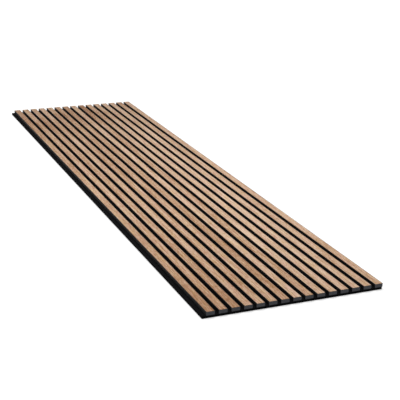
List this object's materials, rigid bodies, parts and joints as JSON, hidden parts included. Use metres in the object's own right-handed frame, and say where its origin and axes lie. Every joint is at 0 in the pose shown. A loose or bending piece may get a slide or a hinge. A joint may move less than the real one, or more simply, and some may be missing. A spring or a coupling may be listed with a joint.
{
  "type": "acoustic slat wall panel",
  "caption": "Flat wall panel of narrow wood-faced slats with equal grooves between them on a black felt backing, which damps echo and covers a wall or ceiling.",
  "frame": {"origin": "middle of the panel's back face, the face that goes against the wall", "axes": "+X across the slats, from the bare felt margin towards the last slat; +Y along the slats; +Z out of the veneered face"},
  "size_m": [0.6, 2.4, 0.02],
  "materials": {
    "wood_veneer": "satin light brown veneer, grain along the slat",
    "black_fibreboard": "matte black through-dyed fibreboard, paler and rougher where sawn",
    "felt": "matte black pressed polyester felt",
    "staple_wire": "galvanised flat wire"
  },
  "bodies": {
    "root": {"felt_backing": "felt", "slat_core_01": "black_fibreboard", "slat_core_02": "black_fibreboard", "slat_core_03": "black_fibreboard", "slat_core_04": "black_fibreboard", "slat_core_05": "black_fibreboard", "slat_core_06": "black_fibreboard", "slat_core_07": "black_fibreboard", "slat_core_08": "black_fibreboard", "slat_core_09": "black_fibreboard", "slat_core_10": "black_fibreboard", "slat_core_11": "black_fibreboard", "slat_core_12": "black_fibreboard", "slat_core_13": "black_fibreboard", "slat_core_14": "black_fibreboard", "slat_core_15": "black_fibreboard", "slat_veneer_01": "wood_veneer", "slat_veneer_02": "wood_veneer", "slat_veneer_03": "wood_veneer", "slat_veneer_04": "wood_veneer", "slat_veneer_05": "wood_veneer", "slat_veneer_06": "wood_veneer", "slat_veneer_07": "wood_veneer", "slat_veneer_08": "wood_veneer", "slat_veneer_09": "wood_veneer", "slat_veneer_10": "wood_veneer", "slat_veneer_11": "wood_veneer", "slat_veneer_12": "wood_veneer", "slat_veneer_13": "wood_veneer", "slat_veneer_14": "wood_veneer", "slat_veneer_15": "wood_veneer", "staples": "staple_wire"}
  },
  "joints": []
}
